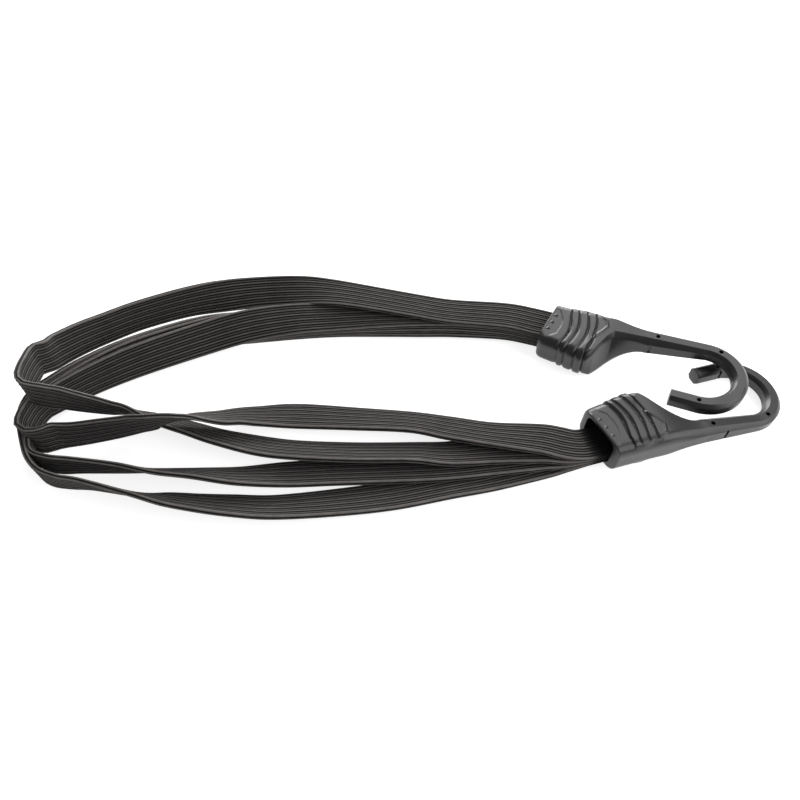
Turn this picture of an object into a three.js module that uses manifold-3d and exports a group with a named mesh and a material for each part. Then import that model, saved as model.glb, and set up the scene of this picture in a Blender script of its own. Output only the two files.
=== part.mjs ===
import * as THREE from 'three';
import { mergeVertices } from 'three/addons/utils/BufferGeometryUtils.js';
import Module from 'manifold-3d';

// Four flat elastic straps, folded back on themselves, with a moulded hook on each end.
// Millimetres and degrees, +Z up. A hook's own axes: x from its mouth to its curl,
// y towards the side that the curl opens to, z across its thickness.

// Straps
const strapWidth = 15;
const strapThickness = 2.1;
const strapEdgeRound = 0.5;
const strapSeat = 18;
const seamGap = 0.3;
const fitGap = 0.3;
const strapCount = 4;

// Boot of the hook, where the straps go in
const bootWall = 1.3;
const bootSideWall = 3.3;
const bootCorner = 4.4;
const mouthChamfer = 0.7;
const slotDepth = 5;
const slotSideGap = 0.4;
const slotEndGap = 1.5;
const chamberSideGap = 1.6;
const flareReach = 4.3;
const crestAt = 24.2;
const crestRound = 8;
const shoulderEdge = 1.5;

// Neck, shank and curl
const shoulderLength = 20.5;
const shoulderSag = 2.2;
const shoulderDraft = 9;
const neckWidth = 8.4;
const neckThickness = 10;
const neckCorner = 2.4;
const rodWidth = 6.2;
const rodThickness = 6.5;
const rodChamfer = 1.9;
const shankLength = 25.2;
const shankDrift = 2.7;
const curlRadius = 15;
const tipLeg = 11.3;

// Grip grooves, mould-pin holes and mould slits
const grooveCount = 4;
const grooveStart = 7;
const groovePitch = 3.7;
const grooveRadius = 1.1;
const grooveDepth = 0.75;
const grooveSweep = 3.4;
const grooveReach = 19;
const grooveEnd = 9;
const pinHoleDiameter = 1.9;
const shankHoleAt = 48;
const curlHoleAt = -71;
const legHoleAt = 70;
const slitWidth = 1.1;
const slitLength = 5.4;
const slitDepth = 0.8;
const outerSlitAt = 53.4;
const innerSlitAt = 46;

// Steel inside the hook
const coreDiameter = 3.2;
const coreBend = 4.5;
const coreOffset = 9;
const coreLegEnd = 6;
const coreShort = 2.5;
const clipThickness = 0.7;
const clipWidth = 11;
const clipFront = 8;

// How the two hooks lie
const hookPlaces = {
  a: { mouth: [-32.7, -30.09, 9.45], yaw: 17.85, pitch: -3.8, roll: -3 },
  b: { mouth: [-45.85, 30.61, 7.19], yaw: -22.8, pitch: 3.7, roll: 180 },
};

// Where each strap lies in the stack at a mouth, counted from the top.
const stackOrder = { a: [1, 0, 2, 3], b: [0, 1, 2, 3] };

// Routes from hook a round the fold to hook b: x, y and z of the middle of the strap, and its
// lean. At 0 the strap stands on edge, and at -90 it lies flat, inner face up.
const routes = [
  [
    [-46.55, -33.29, 9.98, -88], [-55.55, -33.09, 8.53, -82], [-72.55, -32.89, 6.38, -76],
    [-92.05, -33.79, 4.88, -68], [-107.55, -33.29, 5.08, -59], [-130.96, -33.29, 5.08, -58],
    [-154.76, -32.29, 5.18, -57], [-170.16, -30.19, 5.08, -57], [-187.56, -26.19, 5.58, -50],
    [-199.06, -22.49, 5.98, -46], [-211.56, -18.59, 6.48, -42], [-223.56, -16.09, 9.48, -27],
    [-232.46, -16.89, 13.28, -16], [-241.06, -18.09, 18.68, -9], [-247.56, -18.89, 22.68, -5],
    [-253.06, -19.69, 25.88, -2], [-258.06, -19.49, 27.88, 0], [-260.95, -16.89, 28.28, 0],
    [-261.85, -11.89, 27.78, 0], [-262.15, -6.49, 26.78, 0], [-262.15, -0.89, 24.88, -2],
    [-259.95, 4.31, 21.68, -4], [-258.25, 10.11, 17.68, -10], [-253.16, 18.31, 13.68, -17],
    [-245.16, 26.71, 10.88, -27], [-231.76, 37.71, 8.58, -38], [-209.26, 47.61, 7.28, -44],
    [-184.56, 53.51, 7.88, -56], [-160.56, 53.51, 11.88, -82], [-144.56, 50.11, 12.88, -90],
    [-130.56, 47.11, 11.88, -94], [-106.95, 43.31, 9.98, -96], [-89.36, 39.91, 9.53, -95],
    [-64.55, 36.31, 10.6, -92.5],
  ],
  [
    [-46.55, -32.29, 12.58, -88], [-55.55, -30.79, 11.48, -82], [-75.55, -26.29, 7.88, -70],
    [-91.55, -21.79, 5.38, -69], [-107.55, -18.29, 4.68, -64], [-131.56, -16.19, 4.08, -68],
    [-156.56, -14.39, 3.48, -73], [-172.06, -15.29, 4.78, -63], [-180.16, -16.69, 6.68, -58],
    [-187.56, -19.69, 9.88, -53], [-196.86, -23.09, 15.48, -40], [-203.56, -26.49, 19.68, -28],
    [-210.56, -28.49, 21.08, -18], [-219.56, -27.09, 16.68, -12], [-231.96, -25.09, 10.48, -5],
    [-244.06, -26.29, 9.18, 0], [-251.56, -28.19, 11.08, 5], [-256.35, -28.49, 13.08, -12],
    [-259.56, -25.39, 15.08, -32], [-260.56, -19.69, 14.08, -28], [-259.15, -13.69, 10.88, -16],
    [-255.96, -8.09, 8.58, -9], [-246.56, 1.51, 7.88, -15], [-228.46, 14.21, 7.68, -28],
    [-202.56, 27.41, 6.78, -42], [-182.56, 30.71, 9.48, -54], [-162.56, 35.41, 8.78, -70],
    [-142.56, 37.91, 7.58, -80], [-122.55, 39.31, 7.18, -88], [-102.55, 39.71, 7.08, -94],
    [-87.55, 39.51, 7.08, -95], [-64.55, 36.51, 8.06, -92.5],
  ],
  [
    [-46.55, -33.99, 7.28, -88], [-55.55, -34.89, 5.63, -83], [-76.55, -37.39, 4.08, -76],
    [-94.55, -39.39, 3.43, -73], [-115.55, -40.49, 3.28, -72], [-138.56, -41.69, 3.68, -70],
    [-157.56, -42.89, 3.98, -67], [-176.56, -44.49, 5.58, -53], [-193.56, -43.89, 6.68, -40],
    [-208.56, -43.29, 7.18, -32], [-223.56, -42.09, 7.88, -18], [-241.06, -40.89, 7.88, -9],
    [-250.56, -40.49, 7.88, -4], [-256.35, -37.29, 7.88, -1], [-260.56, -31.49, 7.88, 0],
    [-264.35, -23.49, 7.88, 0], [-265.35, -16.99, 7.88, 0], [-263.35, -10.79, 7.88, -2],
    [-259.35, -6.09, 7.88, -6], [-247.86, 3.81, 7.88, -15], [-229.56, 16.81, 7.58, -28],
    [-203.06, 30.91, 6.58, -42], [-182.56, 32.21, 7.38, -54], [-162.56, 36.11, 6.38, -70],
    [-142.56, 38.41, 5.18, -80], [-122.55, 39.01, 4.78, -88], [-102.55, 38.91, 4.68, -94],
    [-87.55, 38.71, 4.68, -95], [-64.55, 36.31, 5.52, -92.5],
  ],
  [
    [-46.55, -34.49, 4.58, -88], [-55.55, -37.09, 2.73, -84], [-76.55, -43.29, 2.88, -76],
    [-93.05, -47.09, 3.23, -72], [-115.36, -51.99, 3.38, -72], [-137.56, -55.39, 3.98, -67],
    [-161.56, -57.79, 4.78, -60], [-178.26, -57.29, 5.28, -55], [-191.06, -56.49, 5.98, -48],
    [-203.56, -55.19, 6.68, -40], [-216.36, -53.49, 7.48, -24], [-235.56, -49.39, 7.78, -15],
    [-244.26, -48.39, 7.88, -11], [-252.56, -46.09, 7.88, -4], [-258.56, -41.09, 7.88, 0],
    [-263.35, -32.49, 7.88, 0], [-267.06, -23.49, 7.88, 0], [-268.15, -15.99, 7.88, 0],
    [-265.95, -9.09, 7.88, -2], [-261.25, -3.89, 7.88, -6], [-249.16, 6.11, 7.88, -15],
    [-230.66, 19.41, 7.58, -28], [-203.56, 34.41, 6.58, -42], [-182.56, 33.71, 5.28, -54],
    [-162.56, 36.81, 3.98, -70], [-142.56, 38.81, 2.78, -80], [-122.55, 38.71, 2.38, -88],
    [-102.55, 38.11, 2.28, -94], [-87.55, 37.91, 2.28, -95], [-64.55, 36.11, 2.98, -92.5],
  ],
];

// Sizes that follow from the ones above
const stackPitch = strapThickness + fitGap;
const stackHalf = (strapCount * strapThickness + (strapCount - 1) * fitGap) / 2;
const clipInner = stackHalf + fitGap;
const clipOuter = clipInner + clipThickness;
const chamberHalf = clipOuter + fitGap;
const chamberHalfWidth = strapWidth / 2 + chamberSideGap;
const bootHalf = chamberHalf + bootWall;
const bootHalfWidth = chamberHalfWidth + bootSideWall;
const coreRadius = coreDiameter / 2;
const tunnelRadius = coreRadius + fitGap;
const coreLegAt = strapSeat + fitGap + coreRadius;
const clipBack = coreLegAt + coreRadius + fitGap;
const chamberEnd = clipBack + clipThickness + fitGap;
const neckAt = crestAt + shoulderLength;
const neckMiddle = -bootHalfWidth + neckWidth / 2;
const curlAt = neckAt + shankLength;
const curlMiddle = neckMiddle - shankDrift + curlRadius;
const tipAt = curlAt - tipLeg;

const radians = THREE.MathUtils.degToRad;
const lerp = THREE.MathUtils.lerp;
const smoothstep = THREE.MathUtils.smoothstep;

const wasm = await Module();
wasm.setup();

// A closed skin over rings of equally many points, with flat ends.
function loft(rings) {
  const count = rings[0].length;
  const points = rings.flat();
  const faces = [];
  for (let r = 0; r + 1 < rings.length; r += 1) {
    for (let i = 0; i < count; i += 1) {
      const a = r * count + i;
      const b = r * count + ((i + 1) % count);
      faces.push(a, b, a + count, b, b + count, a + count);
    }
  }
  const last = (rings.length - 1) * count;
  for (let i = 1; i + 1 < count; i += 1) {
    faces.push(0, i + 1, i);
    faces.push(last, last + i, last + i + 1);
  }
  let volume = 0;
  const cross = new THREE.Vector3();
  for (let f = 0; f < faces.length; f += 3) {
    cross.crossVectors(points[faces[f + 1]], points[faces[f + 2]]);
    volume += points[faces[f]].dot(cross);
  }
  if (volume < 0) faces.reverse();
  const geometry = new THREE.BufferGeometry().setFromPoints(points);
  geometry.setIndex(faces);
  return geometry;
}

function toSolid(geometry) {
  const bare = geometry.clone();
  bare.deleteAttribute('normal');
  bare.deleteAttribute('uv');
  const merged = mergeVertices(bare, 1e-4);
  return new wasm.Manifold(new wasm.Mesh({
    numProp: 3,
    vertProperties: Float32Array.from(merged.attributes.position.array),
    triVerts: Uint32Array.from(merged.index.array),
  }));
}

function toGeometry(solid) {
  const mesh = solid.getMesh();
  const geometry = new THREE.BufferGeometry();
  geometry.setAttribute('position', new THREE.BufferAttribute(mesh.vertProperties, 3));
  geometry.setIndex(new THREE.BufferAttribute(mesh.triVerts, 1));
  return geometry;
}

function boxSolid(from, to) {
  const size = to.map((value, i) => value - from[i]);
  const geometry = new THREE.BoxGeometry(...size);
  geometry.translate(...to.map((value, i) => (value + from[i]) / 2));
  return toSolid(geometry);
}

// A hook's section at one place: a rectangle whose corners are arcs, flattened to chamfers. The
// corners on the curl's side have their own size.
function hookRing(x, y, heading, halfWidth, halfThickness, curlCorner, outerCorner, flat) {
  const arcSteps = 5;
  const ring = [];
  const side = new THREE.Vector3(-Math.sin(heading), Math.cos(heading), 0);
  const corners = [[1, 1], [-1, 1], [-1, -1], [1, -1]];
  corners.forEach(([signY, signZ], quarter) => {
    const corner = signY > 0 ? curlCorner : outerCorner;
    for (let i = 0; i <= arcSteps; i += 1) {
      const share = i / arcSteps;
      const angle = (quarter + share) * Math.PI / 2;
      const startAngle = quarter * Math.PI / 2;
      const chordY = lerp(Math.cos(startAngle), Math.cos(startAngle + Math.PI / 2), share);
      const chordZ = lerp(Math.sin(startAngle), Math.sin(startAngle + Math.PI / 2), share);
      const across = signY * (halfWidth - corner) + corner * lerp(Math.cos(angle), chordY, flat);
      const up = signZ * (halfThickness - corner) + corner * lerp(Math.sin(angle), chordZ, flat);
      ring.push(new THREE.Vector3(x, y, up).addScaledVector(side, across));
    }
  });
  return ring;
}

// The curl-side edge of the boot: it flares to a crest, then falls away to the neck.
function curlSideEdge(x) {
  const flare = bootHalfWidth + flareReach * x / crestAt;
  const past = Math.max(0, (x - crestAt) / shoulderLength);
  const neckEdge = -bootHalfWidth + neckWidth;
  const fall = lerp(bootHalfWidth + flareReach, neckEdge, 1 - (1 - Math.min(1, past)) ** shoulderSag);
  if (x <= crestAt - crestRound) return flare;
  const shoulder = fall + Math.max(0, crestAt - x);
  const near = Math.max(crestRound - Math.abs(flare - shoulder), 0) / crestRound;
  return Math.min(flare, shoulder) - near * near * crestRound / 4;
}

function bootHalfThickness(x) {
  return lerp(bootHalf, neckThickness / 2, smoothstep(x, crestAt, neckAt));
}

// Past the crest the wall on the curl's side slopes, so that one face is narrower than the other.
function bootRing(x, inset) {
  const share = smoothstep(x, crestAt, neckAt);
  const top = curlSideEdge(x) - inset;
  const low = -bootHalfWidth + inset;
  const outer = lerp(bootCorner, neckCorner, share) - inset;
  const edge = lerp(bootCorner, shoulderEdge, smoothstep(x, crestAt - crestRound, crestAt));
  const curlCorner = lerp(edge, neckCorner, smoothstep(x, neckAt - crestRound, neckAt)) - inset;
  const half = bootHalfThickness(x) - inset;
  const ring = hookRing(x, (top + low) / 2, 0, (top - low) / 2, half, curlCorner, outer, share);
  const rise = smoothstep(x, crestAt - crestRound / 2, crestAt + crestRound / 2);
  const end = smoothstep(x, crestAt + crestRound, neckAt - crestRound / 2);
  const draft = shoulderDraft * rise * (1 - end) / (top - low);
  ring.forEach((point) => {
    point.y -= (point.y - low) * draft * (half - point.z) / (2 * half);
  });
  return ring;
}

function rodRing(x, y, heading, share) {
  const width = lerp(neckWidth, rodWidth, share);
  const thickness = lerp(neckThickness, rodThickness, share);
  const corner = lerp(neckCorner, rodChamfer, share);
  return hookRing(x, y, heading, width / 2, thickness / 2, corner, corner, 1);
}

function hookBlank() {
  const rings = [bootRing(0, mouthChamfer), bootRing(mouthChamfer, 0)];
  const bootSteps = 3;
  for (let i = 1; i <= bootSteps; i += 1) {
    rings.push(bootRing(lerp(mouthChamfer, crestAt - crestRound, i / bootSteps), 0));
  }
  const shoulderSteps = 11;
  for (let i = 1; i <= shoulderSteps; i += 1) {
    rings.push(bootRing(lerp(crestAt - crestRound, neckAt, i / shoulderSteps), 0));
  }
  const shankHeading = Math.atan2(-shankDrift, shankLength);
  const shankSteps = 4;
  for (let i = 1; i < shankSteps; i += 1) {
    const share = i / shankSteps;
    rings.push(rodRing(neckAt + share * shankLength, neckMiddle - share * shankDrift, shankHeading, share));
  }
  const curlSteps = 15;
  for (let i = 0; i <= curlSteps; i += 1) {
    const angle = (i / curlSteps - 0.5) * Math.PI;
    const x = curlAt + curlRadius * Math.cos(angle);
    const y = curlMiddle + curlRadius * Math.sin(angle);
    rings.push(rodRing(x, y, angle + Math.PI / 2, 1));
  }
  rings.push(rodRing(tipAt, curlMiddle + curlRadius, Math.PI, 1));
  return toSolid(loft(rings));
}

// The wire's line: across behind the strap ends, round a bend, up the shank and round the curl.
function corePath(tipShort) {
  const path = new THREE.CurvePath();
  const line = (x0, y0, x1, y1) => {
    path.add(new THREE.LineCurve3(new THREE.Vector3(x0, y0, 0), new THREE.Vector3(x1, y1, 0)));
  };
  const bendY = -coreOffset + coreBend;
  line(coreLegAt, coreLegEnd, coreLegAt, bendY);
  const bend = new THREE.EllipseCurve(
    coreLegAt + coreBend, bendY, coreBend, coreBend, Math.PI, Math.PI * 1.5);
  const curl = new THREE.EllipseCurve(
    curlAt, curlMiddle, curlRadius, curlRadius, -Math.PI / 2, Math.PI / 2);
  const chords = (arc, steps) => {
    const points = arc.getPoints(steps);
    for (let i = 0; i < steps; i += 1) line(points[i].x, points[i].y, points[i + 1].x, points[i + 1].y);
  };
  chords(bend, 4);
  line(coreLegAt + coreBend, -coreOffset, neckAt, neckMiddle);
  line(neckAt, neckMiddle, curlAt, curlMiddle - curlRadius);
  chords(curl, 15);
  line(curlAt, curlMiddle + curlRadius, tipAt + tipShort, curlMiddle + curlRadius);
  return path;
}

// A round bar along a flat chain of lines, mitred at each corner.
function roundBar(path, radius, sides) {
  const lines = path.curves;
  const places = lines.map((curve) => curve.v1).concat(lines[lines.length - 1].v2);
  const headings = lines.map((curve) => Math.atan2(curve.v2.y - curve.v1.y, curve.v2.x - curve.v1.x));
  const rings = places.map((place, i) => {
    const before = headings[Math.max(0, i - 1)];
    const after = headings[Math.min(headings.length - 1, i)];
    const half = Math.atan2(Math.sin(after - before), Math.cos(after - before)) / 2;
    const heading = before + half;
    const side = new THREE.Vector3(-Math.sin(heading), Math.cos(heading), 0);
    return Array.from({ length: sides }, (_, k) => {
      const angle = (k + 0.5) / sides * Math.PI * 2;
      const point = place.clone().addScaledVector(side, radius * Math.cos(angle) / Math.cos(half));
      point.z += radius * Math.sin(angle);
      return point;
    });
  });
  return loft(rings);
}

// One grip groove: along the top, round the curl-side edge and back along the underside.
function grooveCutter(index) {
  const start = grooveStart + index * groovePitch;
  const lift = grooveRadius - grooveDepth;
  const bow = (y) => start + grooveSweep * (1 - ((y + grooveEnd) / grooveReach) ** 3);
  const edge = curlSideEdge(start) + lift;
  const half = bootHalf + lift;
  const places = [];
  const flatSteps = 7;
  for (let i = 0; i <= flatSteps; i += 1) {
    const y = lerp(-grooveEnd, edge - bootCorner, i / flatSteps);
    places.push(new THREE.Vector3(bow(y), y, half));
  }
  const cornerSteps = 3;
  for (let i = 1; i <= cornerSteps; i += 1) {
    const angle = Math.PI / 2 * (1 - i / cornerSteps);
    const y = edge - bootCorner + bootCorner * Math.cos(angle);
    const z = half - bootCorner + bootCorner * Math.sin(angle);
    places.push(new THREE.Vector3(bow(edge - bootCorner), y, z));
  }
  const mirrored = places.map((place) => new THREE.Vector3(place.x, place.y, -place.z)).reverse();
  const line = places.concat(mirrored);
  const sides = 6;
  const rings = line.map((place, i) => {
    const ahead = line[Math.min(line.length - 1, i + 1)];
    const behind = line[Math.max(0, i - 1)];
    const tangent = ahead.clone().sub(behind).normalize();
    const first = new THREE.Vector3(1, 0, 0).addScaledVector(tangent, -tangent.x).normalize();
    const second = tangent.clone().cross(first);
    return Array.from({ length: sides }, (_, k) => {
      const angle = k / sides * Math.PI * 2;
      return place.clone()
        .addScaledVector(first, grooveRadius * Math.cos(angle))
        .addScaledVector(second, grooveRadius * Math.sin(angle));
    });
  });
  return toSolid(loft(rings));
}

function pinHole(x, y) {
  const geometry = new THREE.CylinderGeometry(pinHoleDiameter / 2, pinHoleDiameter / 2, 2 * bootHalf, 10);
  geometry.rotateX(Math.PI / 2);
  geometry.translate(x, y, 0);
  return toSolid(geometry);
}

function slit(x, edge, inward) {
  const low = Math.min(edge - inward, edge + inward * slitDepth);
  const high = Math.max(edge - inward, edge + inward * slitDepth);
  return boxSolid([x - slitWidth / 2, low, -slitLength / 2], [x + slitWidth / 2, high, slitLength / 2]);
}

function hookBody() {
  let body = hookBlank();
  const slotHalf = stackHalf + slotEndGap;
  const slotHalfWidth = strapWidth / 2 + slotSideGap;
  const overlap = 1;
  const cuts = [
    boxSolid([-overlap, -slotHalfWidth, -slotHalf], [slotDepth + overlap, slotHalfWidth, slotHalf]),
    boxSolid([slotDepth, -chamberHalfWidth, -chamberHalf], [chamberEnd, chamberHalfWidth, chamberHalf]),
    toSolid(roundBar(corePath(coreShort - fitGap), tunnelRadius, 10)),
  ];
  for (let i = 0; i < grooveCount; i += 1) cuts.push(grooveCutter(i));
  const along = (x) => (x - neckAt) / shankLength;
  cuts.push(pinHole(shankHoleAt, neckMiddle - along(shankHoleAt) * shankDrift));
  const turn = radians(curlHoleAt);
  cuts.push(pinHole(curlAt + curlRadius * Math.cos(turn), curlMiddle + curlRadius * Math.sin(turn)));
  cuts.push(pinHole(legHoleAt, curlMiddle + curlRadius));
  cuts.push(slit(legHoleAt, curlMiddle + curlRadius - rodWidth / 2, 1));
  const shankSide = (x) => lerp(neckWidth, rodWidth, along(x)) / 2;
  const shankMiddle = (x) => neckMiddle - along(x) * shankDrift;
  cuts.push(slit(outerSlitAt, shankMiddle(outerSlitAt) - shankSide(outerSlitAt), 1));
  cuts.push(slit(innerSlitAt, shankMiddle(innerSlitAt) + shankSide(innerSlitAt), -1));
  cuts.forEach((cut) => {
    body = body.subtract(cut);
  });
  return toGeometry(body);
}

function hookCore() {
  return roundBar(corePath(coreShort), coreRadius, 10);
}

// A folded steel band, open towards the mouth, that grips the strap stack round the wire's leg.
function hookClip() {
  const back = clipBack + clipThickness;
  const outline = new THREE.Shape();
  outline.moveTo(clipFront, -clipOuter);
  outline.lineTo(back, -clipOuter);
  outline.lineTo(back, clipOuter);
  outline.lineTo(clipFront, clipOuter);
  outline.lineTo(clipFront, clipInner);
  outline.lineTo(clipBack, clipInner);
  outline.lineTo(clipBack, -clipInner);
  outline.lineTo(clipFront, -clipInner);
  outline.closePath();
  const geometry = new THREE.ExtrudeGeometry(outline, { depth: clipWidth, bevelEnabled: false });
  geometry.rotateX(Math.PI / 2);
  geometry.translate(0, clipWidth / 2, 0);
  return geometry;
}

const materials = {
  plastic: { color: 0x2b2b2c, roughness: 0.46, metalness: 0 },
  steel: { color: 0x8f9296, roughness: 0.35, metalness: 1 },
  elastic: { color: 0x2d2b2a, roughness: 0.9, metalness: 0 },
};

function piece(name, geometry, material) {
  const mesh = new THREE.Mesh(geometry, new THREE.MeshStandardMaterial(materials[material]));
  mesh.name = name;
  return mesh;
}

function hookGroup(side) {
  const place = hookPlaces[side];
  const group = new THREE.Group();
  group.rotation.order = 'ZYX';
  group.rotation.set(radians(place.roll), radians(-place.pitch), radians(place.yaw));
  group.position.set(...place.mouth);
  group.add(piece(`hook_${side}_body`, hookBody(), 'plastic'));
  group.add(piece(`hook_${side}_core`, hookCore(), 'steel'));
  group.add(piece(`hook_${side}_clip`, hookClip(), 'steel'));
  group.updateMatrixWorld(true);
  return group;
}

const hooks = { a: hookGroup('a'), b: hookGroup('b') };

// A strap's place in a hook, at a distance along it from the mouth.
function seatPoint(side, strap, x) {
  const turned = Math.cos(radians(hookPlaces[side].roll));
  const level = ((strapCount - 1) / 2 - stackOrder[side][strap]) * stackPitch;
  const point = hooks[side].localToWorld(new THREE.Vector3(x, 0, level * Math.sign(turned)));
  const tilt = turned > 0 ? -hookPlaces[side].roll : hookPlaces[side].roll - 180;
  return [point.x, point.y, point.z, tilt - 90];
}

// The strap's middle line and the line of its upper edge, as two curves with one parameter.
function strapCurves(strap) {
  const inside = [strapSeat, strapSeat / 3, -strapSeat / 3];
  const stations = [
    ...inside.map((x) => seatPoint('a', strap, x)),
    ...routes[strap],
    ...inside.map((x) => seatPoint('b', strap, x)).reverse(),
  ];
  const centres = stations.map(([x, y, z]) => new THREE.Vector3(x, y, z));
  const edges = centres.map((centre, i) => {
    const ahead = centres[Math.min(centres.length - 1, i + 1)];
    const behind = centres[Math.max(0, i - 1)];
    const heading = ahead.clone().sub(behind).setZ(0).normalize();
    const lean = radians(stations[i][3]);
    const across = new THREE.Vector3(heading.y, -heading.x, 0).multiplyScalar(Math.sin(lean));
    across.z = Math.cos(lean);
    return centre.clone().addScaledVector(across, strapWidth / 2);
  });
  const curve = (points) => new THREE.CatmullRomCurve3(points, false, 'catmullrom', 0.5);
  return { stations, middle: curve(centres), edge: curve(edges) };
}

function strapRing(curves, t) {
  const share = t / (curves.stations.length - 1);
  const centre = curves.middle.getPoint(share);
  const step = 1e-3;
  const tangent = curves.middle.getPoint(Math.min(1, share + step));
  tangent.sub(curves.middle.getPoint(Math.max(0, share - step))).normalize();
  const across = curves.edge.getPoint(share).sub(centre);
  across.addScaledVector(tangent, -across.dot(tangent)).normalize();
  const out = tangent.clone().cross(across);
  const halfWidth = strapWidth / 2;
  const halfThickness = strapThickness / 2;
  const inWidth = halfWidth - strapEdgeRound;
  const inThickness = halfThickness - strapEdgeRound;
  const section = [
    [halfWidth, inThickness], [inWidth, halfThickness],
    [-inWidth, halfThickness], [-halfWidth, inThickness],
    [-halfWidth, -inThickness], [-inWidth, -halfThickness],
    [inWidth, -halfThickness], [halfWidth, -inThickness],
  ];
  return section.map(([a, b]) => centre.clone().addScaledVector(across, a).addScaledVector(out, b));
}

// One stretch of a strap between two of its stations, set back by half a seam at each cut end.
function strapStretch(curves, from, to) {
  const last = curves.stations.length - 1;
  const setBack = (t) => {
    const here = curves.middle.getPoint(t / last);
    const step = 0.05;
    const speed = here.distanceTo(curves.middle.getPoint(Math.min(1, (t + step) / last))) / step;
    return seamGap / 2 / speed;
  };
  const start = from > 0 ? from + setBack(from) : from;
  const end = to < last ? to - setBack(to) : to;
  const longStep = 12;
  const turnStep = 10;
  const rings = [strapRing(curves, start)];
  for (let i = from; i < to; i += 1) {
    const length = curves.middle.getPoint(i / last).distanceTo(curves.middle.getPoint((i + 1) / last));
    const turn = (t) => {
      const a = curves.middle.getTangent(t / last);
      const b = curves.middle.getTangent((t + 1) / last);
      return THREE.MathUtils.radToDeg(a.angleTo(b));
    };
    const twist = Math.abs(curves.stations[i + 1][3] - curves.stations[i][3]);
    const steps = Math.ceil(Math.max(length / longStep, (turn(i) + twist) / turnStep));
    for (let k = 1; k <= steps; k += 1) {
      const t = i + k / steps;
      rings.push(strapRing(curves, t >= to ? end : t));
    }
  }
  return loft(rings);
}

const cord = new THREE.Group();
cord.add(hooks.a, hooks.b);
routes.forEach((_, strap) => {
  const curves = strapCurves(strap);
  const last = curves.stations.length - 1;
  const cutAtMouthA = 4;
  const cutAtRunA = 7;
  const cutAtRunB = last - 5;
  const cutAtMouthB = last - 3;
  const stretches = {
    end_a: [0, cutAtMouthA],
    run_a: [cutAtMouthA, cutAtRunA],
    middle: [cutAtRunA, cutAtRunB],
    run_b: [cutAtRunB, cutAtMouthB],
    end_b: [cutAtMouthB, last],
  };
  Object.entries(stretches).forEach(([name, [from, to]]) => {
    cord.add(piece(`strap_${strap + 1}_${name}`, strapStretch(curves, from, to), 'elastic'));
  });
});

export default cord;
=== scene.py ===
import math

import bmesh
import bpy
import numpy as np
from mathutils import Matrix, Vector


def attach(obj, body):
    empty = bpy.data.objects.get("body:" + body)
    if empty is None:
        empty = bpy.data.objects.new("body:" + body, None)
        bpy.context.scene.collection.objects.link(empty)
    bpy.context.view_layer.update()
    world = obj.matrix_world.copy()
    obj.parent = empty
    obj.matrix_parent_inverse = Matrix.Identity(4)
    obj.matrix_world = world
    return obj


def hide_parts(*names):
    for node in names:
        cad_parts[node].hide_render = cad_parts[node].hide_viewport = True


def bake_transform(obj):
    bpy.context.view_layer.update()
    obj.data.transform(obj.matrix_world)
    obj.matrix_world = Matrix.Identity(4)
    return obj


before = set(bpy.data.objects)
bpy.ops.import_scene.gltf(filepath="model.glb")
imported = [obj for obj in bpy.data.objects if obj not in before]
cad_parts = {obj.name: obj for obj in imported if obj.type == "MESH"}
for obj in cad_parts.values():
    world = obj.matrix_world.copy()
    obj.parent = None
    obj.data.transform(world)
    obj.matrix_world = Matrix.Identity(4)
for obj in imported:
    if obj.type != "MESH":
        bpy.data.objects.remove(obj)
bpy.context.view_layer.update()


# Camera: above and in front of the middle of the straps, square to them.
cameraPlace = {
    "target": (-0.1126, -0.00355, -0.00012),
    "distance": 0.30493,
    "elevation": 55.03,
    "acrossDegrees": 59.93,
}


def makeCamera(place):
    data = bpy.data.cameras.new("camera")
    data.sensor_fit = "HORIZONTAL"
    data.angle = math.radians(place["acrossDegrees"])
    data.clip_start = 0.01
    data.clip_end = 20
    elevation = math.radians(place["elevation"])
    away = Vector((0, -math.cos(elevation), math.sin(elevation)))
    camera = bpy.data.objects.new("camera", data)
    camera.location = Vector(place["target"]) + away * place["distance"]
    camera.rotation_euler = (math.pi / 2 - elevation, 0, 0)
    bpy.context.scene.collection.objects.link(camera)
    bpy.context.scene.camera = camera


makeCamera(cameraPlace)


# Colours are written in sRGB, and the shaders take linear values.
def hexColour(text):
    channels = [int(text[i:i + 2], 16) / 255 for i in (1, 3, 5)]
    linear = [c / 12.92 if c <= 0.04045 else ((c + 0.055) / 1.055) ** 2.4 for c in channels]
    return (*linear, 1)


def addNode(tree, kind, inputs=(), **settings):
    node = tree.nodes.new(kind)
    for name, value in settings.items():
        setattr(node, name, value)
    for name, value in dict(inputs).items():
        if isinstance(value, bpy.types.NodeSocket):
            tree.links.new(value, node.inputs[name])
        else:
            node.inputs[name].default_value = value
    return node


def newMaterial(name):
    material = bpy.data.materials.new(name)
    material.use_nodes = True
    tree = material.node_tree
    return material, tree, tree.nodes["Principled BSDF"]


# Knitted elastic: rounded ribs over rubber strands, with painted shade, dark on the rib flanks and black
# in the furrows, fine stitches across each rib, paler towards both edges, faint dust and a soft cloth
# sheen. Lengths in metres.
elasticLook = {
    "crest": "#6a6664", "flank": "#1b1a19", "paintedShade": "#020202", "flankAt": 0.27, "furrowAt": 0.6,
    "streakScale": (220, 2600, 1), "stitchLength": 0.00062,
    "paleEdgeStart": 0.0064, "paleEdgeEnd": 0.0072, "paleEdgeLight": 1.25,
}


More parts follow.
